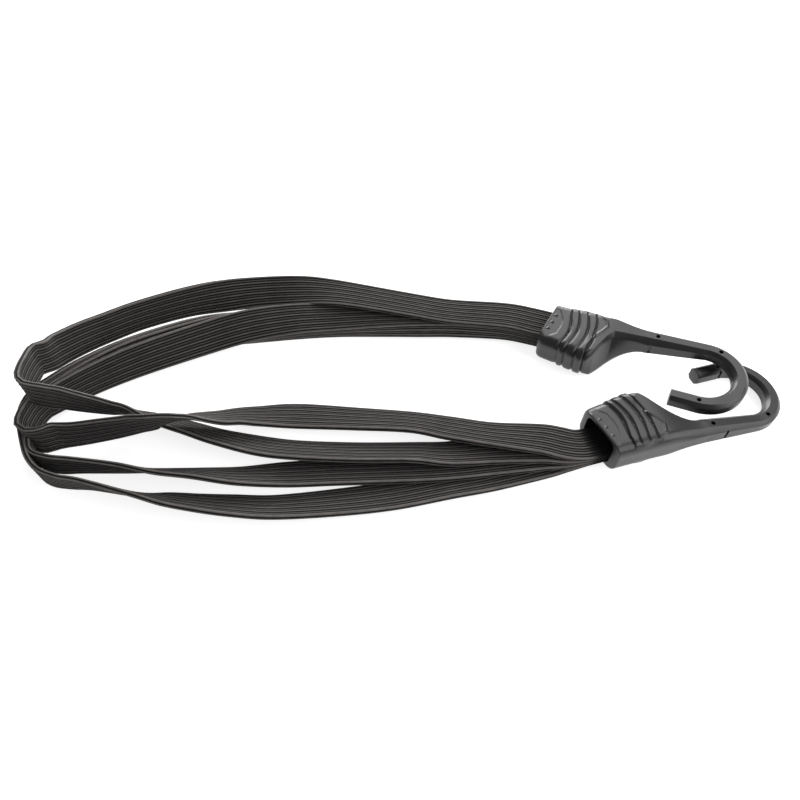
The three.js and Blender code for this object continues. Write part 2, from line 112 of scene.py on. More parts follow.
def makeElastic(look):
    material, tree, shader = newMaterial("knitted elastic")
    paintedShade = addNode(tree, "ShaderNodeAttribute", attribute_name="paintedShade").outputs["Fac"]
    along = addNode(tree, "ShaderNodeAttribute", attribute_name="along").outputs["Fac"]
    across = addNode(tree, "ShaderNodeAttribute", attribute_name="across").outputs["Fac"]
    place = addNode(tree, "ShaderNodeCombineXYZ", {"X": along, "Y": across}).outputs["Vector"]
    # Painted shade: from the crest colour, darker on the rib flanks and black down in the furrows.
    tone = addNode(tree, "ShaderNodeValToRGB", {"Fac": paintedShade})
    tone.color_ramp.elements[0].color = hexColour(look["crest"])
    tone.color_ramp.elements[1].position = look["furrowAt"]
    tone.color_ramp.elements[1].color = hexColour(look["paintedShade"])
    flank = tone.color_ramp.elements.new(look["flankAt"])
    flank.color = hexColour(look["flank"])
    lengthwise = addNode(tree, "ShaderNodeVectorMath", {0: place, 1: look["streakScale"]}, operation="MULTIPLY")
    streaks = addNode(tree, "ShaderNodeTexNoise", {
        "Vector": lengthwise.outputs["Vector"], "Scale": 1, "Detail": 3})
    streakLight = addNode(tree, "ShaderNodeMapRange", {
        "Value": streaks.outputs["Fac"], "From Min": 0.3, "From Max": 0.7, "To Min": 0.78, "To Max": 1.22})
    dust = addNode(tree, "ShaderNodeTexNoise", {"Vector": place, "Scale": 75, "Detail": 4, "Roughness": 0.6})
    dustLight = addNode(tree, "ShaderNodeMapRange", {
        "Value": dust.outputs["Fac"], "From Min": 0.3, "From Max": 0.7, "To Min": 0.88, "To Max": 1.12})
    stitchTurn = addNode(tree, "ShaderNodeMath", {
        0: along, 1: 2 * math.pi / look["stitchLength"]}, operation="MULTIPLY")
    stitch = addNode(tree, "ShaderNodeMath", {0: stitchTurn.outputs[0]}, operation="SINE")
    stitchLight = addNode(tree, "ShaderNodeMapRange", {
        "Value": stitch.outputs[0], "From Min": -1, "From Max": 1, "To Min": 0.9, "To Max": 1.1})
    # The colour grows paler towards both edges of the strap.
    fromMiddle = addNode(tree, "ShaderNodeMath", {0: across}, operation="ABSOLUTE")
    paleEdgeLight = addNode(tree, "ShaderNodeMapRange", {
        "Value": fromMiddle.outputs[0], "From Min": look["paleEdgeStart"], "From Max": look["paleEdgeEnd"],
        "To Min": 1, "To Max": look["paleEdgeLight"]})
    light = streakLight.outputs[0]
    for factor in (dustLight, stitchLight, paleEdgeLight):
        product = addNode(tree, "ShaderNodeMath", {0: light, 1: factor.outputs[0]}, operation="MULTIPLY")
        light = product.outputs[0]
    colour = addNode(tree, "ShaderNodeVectorMath", {
        0: tone.outputs["Color"], "Scale": light}, operation="SCALE")
    height = addNode(tree, "ShaderNodeMath", {0: stitch.outputs[0], 1: streaks.outputs["Fac"]}, operation="ADD")
    bump = addNode(tree, "ShaderNodeBump", {
        "Height": height.outputs[0], "Strength": 0.35, "Distance": 0.00008})
    tree.links.new(colour.outputs["Vector"], shader.inputs["Base Color"])
    tree.links.new(bump.outputs["Normal"], shader.inputs["Normal"])
    shader.inputs["Roughness"].default_value = 0.82
    shader.inputs["Specular IOR Level"].default_value = 0.28
    shader.inputs["Sheen Weight"].default_value = 0.12
    shader.inputs["Sheen Roughness"].default_value = 0.5
    return material


# Moulded plastic: satin black with the fine grain of the mould and slightly polished patches.
def makePlastic():
    material, tree, shader = newMaterial("moulded plastic")
    place = addNode(tree, "ShaderNodeTexCoord").outputs["Object"]
    grain = addNode(tree, "ShaderNodeTexNoise", {"Vector": place, "Scale": 2600, "Detail": 2})
    patches = addNode(tree, "ShaderNodeTexNoise", {"Vector": place, "Scale": 90, "Detail": 4, "Roughness": 0.6})
    rough = addNode(tree, "ShaderNodeMapRange", {
        "Value": patches.outputs["Fac"], "From Min": 0.3, "From Max": 0.7, "To Min": 0.3, "To Max": 0.4})
    tone = addNode(tree, "ShaderNodeValToRGB", {"Fac": patches.outputs["Fac"]})
    tone.color_ramp.elements[0].position = 0.3
    tone.color_ramp.elements[0].color = hexColour("#1a1a1b")
    tone.color_ramp.elements[1].position = 0.7
    tone.color_ramp.elements[1].color = hexColour("#202021")
    bump = addNode(tree, "ShaderNodeBump", {
        "Height": grain.outputs["Fac"], "Strength": 0.22, "Distance": 0.00006})
    tree.links.new(tone.outputs["Color"], shader.inputs["Base Color"])
    tree.links.new(rough.outputs[0], shader.inputs["Roughness"])
    tree.links.new(bump.outputs["Normal"], shader.inputs["Normal"])
    shader.inputs["Specular IOR Level"].default_value = 0.65
    return material


# Drawn steel: fine scratches on the wire and strip.
def makeSteel():
    material, tree, shader = newMaterial("drawn steel")
    place = addNode(tree, "ShaderNodeTexCoord").outputs["Object"]
    scratches = addNode(tree, "ShaderNodeTexNoise", {"Vector": place, "Scale": 1400, "Detail": 3})
    rough = addNode(tree, "ShaderNodeMapRange", {
        "Value": scratches.outputs["Fac"], "From Min": 0.3, "From Max": 0.7, "To Min": 0.28, "To Max": 0.45})
    tone = addNode(tree, "ShaderNodeValToRGB", {"Fac": scratches.outputs["Fac"]})
    tone.color_ramp.elements[0].color = hexColour("#6f7276")
    tone.color_ramp.elements[1].color = hexColour("#989ba0")
    tree.links.new(tone.outputs["Color"], shader.inputs["Base Color"])
    tree.links.new(rough.outputs[0], shader.inputs["Roughness"])
    shader.inputs["Metallic"].default_value = 1
    return material


# White paper that glows a little towards the camera and in reflections, so that it looks white and
# keeps a trace of the shadows on it.
def makePaper():
    material, tree, shader = newMaterial("white paper")
    place = addNode(tree, "ShaderNodeTexCoord").outputs["Object"]
    mottle = addNode(tree, "ShaderNodeTexNoise", {"Vector": place, "Scale": 30, "Detail": 2})
    tone = addNode(tree, "ShaderNodeValToRGB", {"Fac": mottle.outputs["Fac"]})
    tone.color_ramp.elements[0].color = hexColour("#e9e9e9")
    tone.color_ramp.elements[1].color = hexColour("#eeeeee")
    rays = addNode(tree, "ShaderNodeLightPath").outputs
    seen = addNode(tree, "ShaderNodeMath", {
        0: rays["Is Camera Ray"], 1: rays["Is Glossy Ray"]}, operation="MAXIMUM")
    glow = addNode(tree, "ShaderNodeMath", {0: seen.outputs[0], 1: 0.78}, operation="MULTIPLY")
    tree.links.new(tone.outputs["Color"], shader.inputs["Base Color"])
    tree.links.new(glow.outputs[0], shader.inputs["Emission Strength"])
    shader.inputs["Emission Color"].default_value = (1, 1, 1, 1)
    shader.inputs["Roughness"].default_value = 0.9
    shader.inputs["Specular IOR Level"].default_value = 0.1
    return material


elastic = makeElastic(elasticLook)
plastic = makePlastic()
steel = makeSteel()
paper = makePaper()
print("materials made")


def mix(a, b, share):
    return a + (b - a) * share


def smoothShare(x, start, end):
    share = np.clip((x - start) / (end - start), 0, 1)
    return share * share * (3 - 2 * share)


def unit(vectors):
    return vectors / np.linalg.norm(vectors, axis=1)[:, None]


def smoothMesh(name, points, faces, material):
    mesh = bpy.data.meshes.new(name)
    mesh.from_pydata([tuple(p) for p in points], [], faces)
    mesh.polygons.foreach_set("use_smooth", [True] * len(mesh.polygons))
    mesh.materials.append(material)
    mesh.update()
    piece = bpy.data.objects.new(name, mesh)
    bpy.context.scene.collection.objects.link(piece)
    return piece


# Quads between rings of equally many points, with a flat face at an end that is closed.
def ringFaces(rings, count, closeStart, closeEnd):
    faces = []
    for r in range(rings - 1):
        for i in range(count):
            j = (i + 1) % count
            faces.append((r * count + i, r * count + j, (r + 1) * count + j, (r + 1) * count + i))
    if closeStart:
        faces.append(tuple(range(count - 1, -1, -1)))
    if closeEnd:
        faces.append(tuple((rings - 1) * count + i for i in range(count)))
    return faces


# How the two hooks lie: the middle of the mouth, in metres, and the turns in degrees.
hookPlaces = {
    "a": {"mouth": (-0.0327, -0.03009, 0.00945), "yaw": 17.85, "pitch": -3.8, "roll": -3},
    "b": {"mouth": (-0.04585, 0.03061, 0.00719), "yaw": -22.8, "pitch": 3.7, "roll": 180},
}


def hookMatrix(side):
    place = hookPlaces[side]
    turn = Matrix.Rotation(math.radians(place["yaw"]), 4, "Z")
    turn = turn @ Matrix.Rotation(math.radians(-place["pitch"]), 4, "Y")
    turn = turn @ Matrix.Rotation(math.radians(place["roll"]), 4, "X")
    return Matrix.Translation(place["mouth"]) @ turn


# Straps, in metres. The bead along the edge is given in shares of half the width and half the thickness,
# with its shade. A strap's order in a stack counts down from the top one in the mouth of the hook.
strap = {
    "width": 0.015, "thickness": 0.0021, "step": 0.0022, "fineSteps": 40, "cutStations": (7, 6),
    "ribs": 12, "ribPoints": 6, "ribDepth": 0.0006, "ribFullness": 0.98, "lowRib": 0.00016,
    "furrowShade": 1.15, "lowRibShade": 0.1,
    "bead": ((0.97, 0.92, 0), (1, 0.55, 0), (0.985, 0.22, 0.3), (0.955, 0, 0.8)),
    "buckle": 0.0008, "buckleLength": 0.0062, "buckleBends": (25, 115),
    "buckleSkew": 260, "buckleSink": 0.35, "sinkTurn": 1.7, "sinkSkew": 900,
    "seat": 0.018, "level": 0.0024, "stackMiddle": 1.5, "stackA": (1, 0, 2, 3), "stackB": (0, 1, 2, 3),
    "sag": 0.00345, "sagOutside": 0.4, "squeeze": 0.0011, "squeezed": 0.55, "squeezeEnd": 0.0396,
    "mouthDark": 0.5, "mouthDarkReach": 0.007,
}
# Stations along each strap from hook a to hook b: x, y and z of its middle, in metres, and its lean from
# upright, in degrees. Eight on the far run of the first strap and eight at the fold of the second come
# from a fit to measured edges.
strapRoutes = [
    [
        (-.0466, -.0333, .01, -88), (-.0556, -.0331, .0085, -82), (-.0726, -.0329, .0064, -76),
        (-.0921, -.0338, .0049, -68), (-.1076, -.0333, .0051, -59), (-.131, -.0333, .0051, -58),
        (-.1548, -.0323, .0052, -57), (-.1702, -.0302, .0051, -57), (-.1876, -.0262, .0056, -50),
        (-.1991, -.0225, .006, -46), (-.2116, -.0186, .0065, -42), (-.2236, -.0161, .0095, -27),
        (-.2325, -.0169, .0133, -16), (-.2411, -.0181, .0187, -9), (-.2476, -.0189, .0227, -5),
        (-.2531, -.0197, .0259, -2), (-.2581, -.0195, .0279, 0), (-.261, -.0169, .0283, 0),
        (-.2619, -.0119, .0278, 0), (-.2621, -.0065, .0268, 0), (-.2621, -.0009, .0249, -2),
        (-.26, .0043, .0217, -4), (-.2582, .0112, .0179, -11), (-.2532, .02, .0141, -14),
        (-.2452, .0286, .0111, -13), (-.2318, .0386, .0089, -14), (-.2093, .0481, .0081, -22),
        (-.1846, .0529, .008, -60), (-.1606, .0515, .0112, -72), (-.1446, .0493, .0124, -88),
        (-.1306, .0471, .0119, -94), (-.107, .0433, .01, -96), (-.0894, .0399, .0095, -95),
        (-.0645, .0363, .0106, -92),
    ],
    [
        (-.0466, -.0323, .0126, -88), (-.0556, -.0308, .0115, -82), (-.0756, -.0263, .0079, -70),
        (-.0916, -.0218, .0054, -69), (-.1076, -.0183, .0047, -64), (-.1316, -.0162, .0041, -68),
        (-.1566, -.0144, .0035, -73), (-.1721, -.0153, .0048, -63), (-.1802, -.0167, .0067, -58),
        (-.1876, -.0197, .0099, -53), (-.1969, -.0231, .0155, -40), (-.2036, -.0265, .0197, -28),
        (-.2106, -.0285, .0211, -18), (-.2196, -.0271, .0167, -12), (-.2315, -.0266, .0123, -4),
        (-.2434, -.0275, .0102, 1), (-.2512, -.0291, .011, 5), (-.2566, -.0322, .0135, 4),
        (-.2616, -.0308, .015, -6), (-.2632, -.0243, .0138, -8), (-.2625, -.0152, .0114, -8),
        (-.2583, -.0088, .0091, -8), (-.2466, .0015, .0079, -15), (-.2285, .012, .0082, -28),
        (-.2026, .0243, .008, -42), (-.1826, .0307, .0095, -54), (-.1626, .0354, .0088, -70),
        (-.1426, .0379, .0076, -80), (-.1226, .0393, .0072, -88), (-.1026, .0397, .0071, -94),
        (-.0876, .0395, .0071, -95), (-.0645, .0365, .0081, -92),
    ],
    [
        (-.0466, -.034, .0073, -88), (-.0556, -.0349, .0056, -83), (-.0766, -.0374, .0041, -76),
        (-.0945, -.0394, .0034, -73), (-.1155, -.0405, .0033, -72), (-.1386, -.0417, .0037, -70),
        (-.1576, -.0429, .004, -67), (-.1766, -.0445, .0056, -53), (-.1936, -.0439, .0067, -40),
        (-.2086, -.0433, .0072, -32), (-.2236, -.0421, .0079, -18), (-.2411, -.0409, .0079, -9),
        (-.2506, -.0405, .0079, -4), (-.2583, -.038, .0079, -1), (-.2616, -.0312, .0079, 0),
        (-.2643, -.0235, .0079, 0), (-.2653, -.017, .0079, 0), (-.2633, -.0108, .0079, -2),
        (-.2594, -.0061, .0079, -6), (-.2479, .0038, .0079, -15), (-.2296, .0149, .0084, -28),
        (-.2031, .027, .0073, -42), (-.1826, .0322, .0074, -54), (-.1626, .0361, .0064, -70),
        (-.1426, .0384, .0052, -80), (-.1226, .039, .0048, -88), (-.1026, .0389, .0047, -94),
        (-.0876, .0387, .0047, -95), (-.0645, .0363, .0055, -92),
    ],
    [
        (-.0466, -.0345, .0046, -88), (-.0556, -.0371, .0027, -84), (-.0766, -.0433, .0029, -76),
        (-.093, -.0471, .0032, -72), (-.1154, -.052, .0034, -72), (-.1376, -.0554, .004, -67),
        (-.1616, -.0578, .0048, -60), (-.1783, -.0573, .0053, -55), (-.1911, -.0565, .006, -48),
        (-.2036, -.0552, .0067, -40), (-.2164, -.0535, .0075, -24), (-.2356, -.0494, .0078, -15),
        (-.2443, -.0484, .0079, -11), (-.2526, -.0461, .0079, -4), (-.2586, -.0411, .0079, 0),
        (-.2633, -.0325, .0079, 0), (-.2671, -.0235, .0079, 0), (-.2681, -.016, .0079, 0),
        (-.266, -.0091, .0079, -2), (-.2612, -.0039, .0079, -6), (-.2492, .0061, .0079, -15),
        (-.2307, .0173, .0076, -28), (-.2036, .0293, .0066, -42), (-.1826, .0337, .0053, -54),
        (-.1626, .0368, .004, -70), (-.1426, .0388, .0028, -80), (-.1226, .0387, .0024, -88),
        (-.1026, .0381, .0023, -94), (-.0876, .0379, .0023, -95), (-.0645, .0361, .003, -92),
    ],
]


def seatPoint(side, order, along):
    roll = hookPlaces[side]["roll"]
    turned = math.copysign(1, math.cos(math.radians(roll)))
    level = (strap["stackMiddle"] - order) * strap["level"] * turned
    tilt = -roll if turned > 0 else roll - 180
    return (*(hookMatrix(side) @ Vector((along, 0, level))), tilt - 90)


# A smooth curve through every point, one whole step of t from each to the next.
def throughPoints(points, t):
    ends = np.vstack([2 * points[0] - points[1], points, 2 * points[-1] - points[-2]])
    index = np.clip(np.floor(t).astype(int), 0, len(points) - 2)
    f = (t - index)[:, None]
    before, start, end, after = (ends[index + k] for k in range(4))
    leave = (end - before) / 2
    arrive = (after - start) / 2
    return (start * (2 * f**3 - 3 * f**2 + 1) + leave * (f**3 - 2 * f**2 + f)
            + end * (3 * f**2 - 2 * f**3) + arrive * (f**3 - f**2))


# The strap's section as offsets across and out of its face, with how much painted shade each point gets,
# more the deeper it lies in a furrow. Every second rib is a little lower and painted a little darker.
def strapSection():
    half = strap["width"] / 2
    crest = strap["thickness"] / 2
    pitch = strap["width"] / strap["ribs"]
    ribPoints = strap["ribPoints"]
    edge = [(half * a, crest * b, paintedShade) for a, b, paintedShade in strap["bead"]]
    face = []
    for k in range(2, strap["ribs"] * ribPoints - 1):
        x = (k % ribPoints) * 2 / ribPoints - 1
        roundness = 1 - math.sqrt(1 - (strap["ribFullness"] * x) ** 2)
        low = (k // ribPoints) % 2 and k % ribPoints
        drop = strap["ribDepth"] * roundness + (strap["lowRib"] * (1 - roundness) if low else 0)
        paintedShade = roundness * strap["furrowShade"] + (strap["lowRibShade"] if low else 0)
        face.append((half - pitch * k / ribPoints, crest - drop, min(1, paintedShade)))
    top = edge[::-1] + face + [(-a, b, paintedShade) for a, b, paintedShade in edge]
    bottom = [(-a, -b, paintedShade) for a, b, paintedShade in top[1:-1]]
    return np.array(top + bottom)


section = strapSection()


# Rings along a strap: where each is, which way it faces and how sharply the strap bends there.
def strapRings(number):
    seat = strap["seat"]
    inside = (seat, seat / 3, -seat / 3)
    orderA, orderB = strap["stackA"][number], strap["stackB"][number]
    # In hook a the straps leave the clip and lie pressed together on the floor of the mouth.
    drop = strap["sag"] + (strap["stackMiddle"] - orderA) * strap["squeeze"]
    clipped, *loose = [seatPoint("a", orderA, u) for u in inside]
    lowered = [(x, y, z - drop, lean) for x, y, z, lean in loose]
    (x, y, z, lean), *route = strapRoutes[number]
    outside = (x, y, z - strap["sagOutside"] * drop, lean)
    farSeat = [seatPoint("b", orderB, u) for u in reversed(inside)]
    stations = np.array([clipped, *lowered, outside, *route, *farSeat])
    centres = stations[:, :3]
    heading = np.vstack([centres[1:], centres[-1:]]) - np.vstack([centres[:1], centres[:-1]])
    heading[:, 2] = 0
    heading = unit(heading)
    lean = np.radians(stations[:, 3])
    right = np.stack([heading[:, 1], -heading[:, 0], 0 * lean], axis=1)
    width = np.cos(lean)[:, None] * np.array([0, 0, 1]) + np.sin(lean)[:, None] * right
    edges = centres + width * strap["width"] / 2
    last = len(stations) - 1
    fine = np.linspace(0, last, last * strap["fineSteps"] + 1)
    line = throughPoints(centres, fine)
    length = np.concatenate([[0], np.cumsum(np.linalg.norm(np.diff(line, axis=0), axis=1))])
    # The strap is cut in each run and at the fold.
    fold = fine[np.argmin(line[:, 0])]
    fromA, fromB = strap["cutStations"]
    marks = [0, fromA, fold, last - fromB, last]
    t = []
    splits = [0]
    for start, end in zip(marks[:-1], marks[1:]):
        s0, s1 = np.interp([start, end], fine, length)
        count = max(2, round((s1 - s0) / strap["step"]))
        t.extend(np.interp(np.linspace(s0, s1, count + 1), length, fine)[(1 if t else 0):])
        splits.append(len(t) - 1)
    t = np.array(t)
    centre = throughPoints(centres, t)
    nudge = 1e-3
    ahead = throughPoints(centres, np.minimum(t + nudge, last))
    behind = throughPoints(centres, np.maximum(t - nudge, 0))
    tangent = unit(ahead - behind)
    across = throughPoints(edges, t) - centre
    across = unit(across - tangent * np.sum(across * tangent, axis=1)[:, None])
    out = np.cross(tangent, across)
    along = np.interp(t, fine, length)
    bend = np.sum(np.gradient(tangent, along, axis=0) * out, axis=1)
    return {"centre": centre, "across": across, "out": out, "along": along, "bend": bend,
            "splits": splits, "length": length[-1]}


def strapGrid(rings):
    along, bend = rings["along"][:, None], rings["bend"][:, None]
    a = np.repeat(section[None, :, 0], len(along), axis=0)
    b = np.repeat(section[None, :, 1], len(along), axis=0)
    # In the mouth of hook a the straps are squeezed thin.
    b *= mix(strap["squeezed"], 1, smoothShare(along, strap["seat"], strap["squeezeEnd"]))
    # On the inside of a tight fold the ribs buckle sideways and sink in.
    start, full = strap["buckleBends"]
    tight = np.clip((np.abs(bend) - start) / (full - start), 0, 1)
    inner = np.clip(b * np.sign(bend) / (strap["thickness"] / 2), 0, 1)
    clear = 1 - (a / (strap["width"] / 2)) ** 4
    buckle = strap["buckle"] * tight * inner * clear
    turn = 2 * np.pi * along / strap["buckleLength"] + strap["buckleSkew"] * a
    a = a + buckle * np.sin(turn)
    sink = 1 + np.sin(strap["sinkTurn"] * turn + strap["sinkSkew"] * a)
    b = b - strap["buckleSink"] * buckle * np.sign(b) * sink
    return (rings["centre"][:, None, :] + rings["across"][:, None, :] * a[:, :, None]
            + rings["out"][:, None, :] * b[:, :, None])


# Each strap is four lengths. Start and end are the x, in metres, between which a length passes from its
# first body to its second.
strapLengths = [
    {"name": "hookA", "bodies": ("run_a", "hook_a"), "start": -0.1030, "end": -0.0576,
     "replaces": ("end_a", "run_a")},
    {"name": "nearHalf", "bodies": ("strap_bend", "run_a"), "start": -0.2520, "end": -0.1170,
     "replaces": ("middle",)},
    {"name": "farHalf", "bodies": ("strap_bend", "run_b"), "start": -0.2520, "end": -0.1320,
     "replaces": ("middle",)},
    {"name": "hookB", "bodies": ("run_b", "hook_b"), "start": -0.1180, "end": -0.0656,
     "replaces": ("run_b", "end_b")},
]


def makeStrap(number):
    rings = strapRings(number)
    grid = strapGrid(rings)
    splits = rings["splits"]
    count = len(section)
    for k, spec in enumerate(strapLengths):
        here = slice(splits[k], splits[k + 1] + 1)
        points, path, along = grid[here], rings["centre"][here], rings["along"][here]
        faces = ringFaces(len(points), count, k == 0, k == len(strapLengths) - 1)
        piece = smoothMesh(f"strap{number + 1}{spec['name']}", points.reshape(-1, 3), faces, elastic)
        # The straps are coloured dark as they enter hook a, in place of the deep shadow in its mouth.
        inMouth = 1 - smoothShare(along, strap["seat"], strap["seat"] + strap["mouthDarkReach"])
        paintedShade = np.clip(section[None, :, 2] + strap["mouthDark"] * inMouth[:, None], 0, 1)
        values = {
            "along": np.repeat(along, count),
            "across": np.tile(section[:, 0], len(points)),
            "paintedShade": paintedShade.ravel(),
        }
        for name, value in values.items():
            layer = piece.data.attributes.new(name, "FLOAT", "POINT")
            layer.data.foreach_set("value", value.astype(np.float32))
        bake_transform(piece)
        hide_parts(*(f"strap_{number + 1}_{node}" for node in spec["replaces"]))
    return rings["length"]


for number in range(len(strapRoutes)):
    length = makeStrap(number)
    print(f"strap {number + 1}: {length:.4f} m")


# Hook: one moulding, in millimetres in its own axes, from the mouth (x 0) to the curl. The flats say how
# far rounded corners are flattened to chamfers.
hook = {
    "halfWidth": 12.4, "half": 7.25, "corner": 4.4, "flare": 4.3, "crest": 24.2, "crestRound": 8, "rim": 2,
    "rimFlat": 0.75, "shoulder": 20.5, "sag": 2.2, "draft": 9, "draftLimit": 0.85,
    "neckWidth": 8.4, "neckThickness": 10, "neckCorner": 2.4, "neckFlat": 0.85,
    "rodWidth": 6.2, "rodThickness": 6.6, "rodCorner": 1.5, "rodFlat": 0.88,
    "shank": 25.2, "drift": 2.7, "curl": 15, "leg": 11.3, "tipRound": 0.4,
    "mouthRound": 0.45, "mouthSlant": 0.15, "mouthBack": 0.4, "slantReach": 12,
    "mouthCorner": 2.4, "mouthCornerReach": 3.12,
    "slot": (8.5, 6.15), "slotCorner": 2.6, "slotDepth": 5,
    "chamber": (9.1, 5.95), "chamberCorner": 0.6, "chamberEnd": 22.8,
    "holes": {"shank": 48, "curl": -71, "leg": 70}, "holeRadius": 0.95, "holeDepth": 16, "holeSides": 24,
    "slits": {"outer": 53.4, "inner": 46}, "slitSize": (1.1, 2.4, 5.4), "slitOutside": 0.4,
    "faceSteps": 70, "sideSteps": 12, "cornerSteps": 9, "mouthSteps": 4, "bootSteps": 150,
    "shankSteps": 20, "curlSteps": 40, "legSteps": 8, "tipSteps": 3, "sharpAngle": 38,
}
millimetre = 0.001
neckX = hook["crest"] + hook["shoulder"]
neckY = -hook["halfWidth"] + hook["neckWidth"] / 2
curlX = neckX + hook["shank"]
curlY = neckY - hook["drift"] + hook["curl"]
legY = curlY + hook["curl"]


# The boot's edge on the side of the curl: it flares to the crest and falls in a hollow to the neck.
def curlSideEdge(x):
    crest = hook["halfWidth"] + hook["flare"]
    flare = hook["halfWidth"] + hook["flare"] * x / hook["crest"]
    past = min(1, max(0, (x - hook["crest"]) / hook["shoulder"]))
    fall = mix(crest, -hook["halfWidth"] + hook["neckWidth"], 1 - (1 - past) ** hook["sag"])
    shoulder = fall + max(0, hook["crest"] - x)
    near = max(hook["crestRound"] - abs(flare - shoulder), 0) / hook["crestRound"]
    return min(flare, shoulder) - near * near * hook["crestRound"] / 4


# A rounded rectangle of points. The corners towards the curl have their own size, and all of them
# can be flattened to chamfers.
def roundRectangle(halfWidth, half, corner, flat, curlCorner=None, curlFlat=None):
    points = []
    faceSteps, sideSteps, cornerSteps = hook["faceSteps"], hook["sideSteps"], hook["cornerSteps"]
    curlCorner = corner if curlCorner is None else curlCorner
    curlFlat = flat if curlFlat is None else curlFlat

    def straight(start, end, steps):
        for i in range(steps):
            points.append((mix(start[0], end[0], i / steps), mix(start[1], end[1], i / steps)))

    def turn(signA, signB, startAngle, size, share):
        endAngle = startAngle + math.pi / 2
        for i in range(cornerSteps):
            angle = mix(startAngle, endAngle, i / cornerSteps)
            a = mix(math.cos(angle), mix(math.cos(startAngle), math.cos(endAngle), i / cornerSteps), share)
            b = mix(math.sin(angle), mix(math.sin(startAngle), math.sin(endAngle), i / cornerSteps), share)
            points.append((signA * (halfWidth - size) + size * a, signB * (half - size) + size * b))

    straight((halfWidth - curlCorner, half), (corner - halfWidth, half), faceSteps)
    turn(-1, 1, math.pi / 2, corner, flat)
    straight((-halfWidth, half - corner), (-halfWidth, corner - half), sideSteps)
    turn(-1, -1, math.pi, corner, flat)
    straight((corner - halfWidth, -half), (halfWidth - curlCorner, -half), faceSteps)
    turn(1, -1, math.pi * 1.5, curlCorner, curlFlat)
    straight((halfWidth, curlCorner - half), (halfWidth, half - curlCorner), sideSteps)
    turn(1, 1, 0, curlCorner, curlFlat)
    return np.array(points)


def placeRing(x, y, heading, flatRing):
    side = np.array([-math.sin(heading), math.cos(heading), 0])
    return np.array([x, y, 0]) + flatRing[:, :1] * side + flatRing[:, 1:] * np.array([0, 0, 1])


# The mouth is cut on a slant that fades out along the boot.
def slanted(ring):
    fade = 1 - smoothShare(ring[:, 0], 0, hook["slantReach"])
    ring[:, 0] += (hook["mouthBack"] - hook["mouthSlant"] * ring[:, 1]) * fade
    return ring


def bootRing(x, inset):
    crest, crestRound = hook["crest"], hook["crestRound"]
    share = smoothShare(x, crest, neckX)
    half = mix(hook["half"], hook["neckThickness"] / 2, share)
    rounded = max(0, 1 - x / hook["mouthCornerReach"])
    high = curlSideEdge(x) - inset - hook["mouthCorner"] * (1 - math.sqrt(1 - rounded * rounded))
    low = -hook["halfWidth"] + inset
    corner = mix(hook["corner"], hook["neckCorner"], share) - inset
    rim = smoothShare(x, crest - crestRound / 2, crest)
    curlCorner = mix(mix(hook["corner"], hook["rim"], rim), hook["neckCorner"],
                     smoothShare(x, neckX - crestRound, neckX)) - inset
    ring = roundRectangle((high - low) / 2, half - inset, corner, hook["neckFlat"] * share,
                          curlCorner, hook["rimFlat"] * rim)
    # Past the crest the curl-side wall slopes, so that one face is narrower than the other.
    draft = min(hook["draft"], hook["draftLimit"] * (high - neckY - hook["neckWidth"] / 2))
    slope = smoothShare(x, crest - crestRound / 2, crest + crestRound / 2) * draft / (high - low)
    ring[:, 0] -= (ring[:, 0] + (high - low) / 2) * slope * (half - ring[:, 1]) / (2 * half)
    return slanted(placeRing(x, (high + low) / 2, 0, ring))


def rodRing(x, y, heading, share, inset=0):
    width = mix(hook["neckWidth"], hook["rodWidth"], share)
    thickness = mix(hook["neckThickness"], hook["rodThickness"], share)
    corner = mix(hook["neckCorner"], hook["rodCorner"], share) - inset / 2
    ring = roundRectangle(width / 2 - inset, thickness / 2 - inset, corner, hook["rodFlat"])
    return placeRing(x, y, heading, ring)


def hookRings():
    mouth, tip = hook["mouthRound"], hook["tipRound"]
    rings = []
    for i in range(hook["mouthSteps"] + 1):
        angle = i / hook["mouthSteps"] * math.pi / 2
        rings.append(bootRing(mouth * (1 - math.cos(angle)), mouth * (1 - math.sin(angle))))
    for i in range(1, hook["bootSteps"] + 1):
        rings.append(bootRing(mix(mouth, neckX, i / hook["bootSteps"]), 0))
    bootCount = len(rings)
    heading = math.atan2(-hook["drift"], hook["shank"])
    for i in range(1, hook["shankSteps"]):
        share = i / hook["shankSteps"]
        rings.append(rodRing(neckX + share * hook["shank"], neckY - share * hook["drift"], heading, share))
    for i in range(hook["curlSteps"] + 1):
        angle = (i / hook["curlSteps"] - 0.5) * math.pi
        x = curlX + hook["curl"] * math.cos(angle)
        y = curlY + hook["curl"] * math.sin(angle)
        rings.append(rodRing(x, y, angle + math.pi / 2, 1))
    for i in range(1, hook["legSteps"] + 1):
        rings.append(rodRing(curlX - (hook["leg"] - tip) * i / hook["legSteps"], legY, math.pi, 1))
    for i in range(1, hook["tipSteps"] + 1):
        angle = i / hook["tipSteps"] * math.pi / 2
        x = curlX - hook["leg"] + tip - tip * math.sin(angle)
        rings.append(rodRing(x, legY, math.pi, 1, tip * (1 - math.cos(angle))))
    return np.array(rings), bootCount


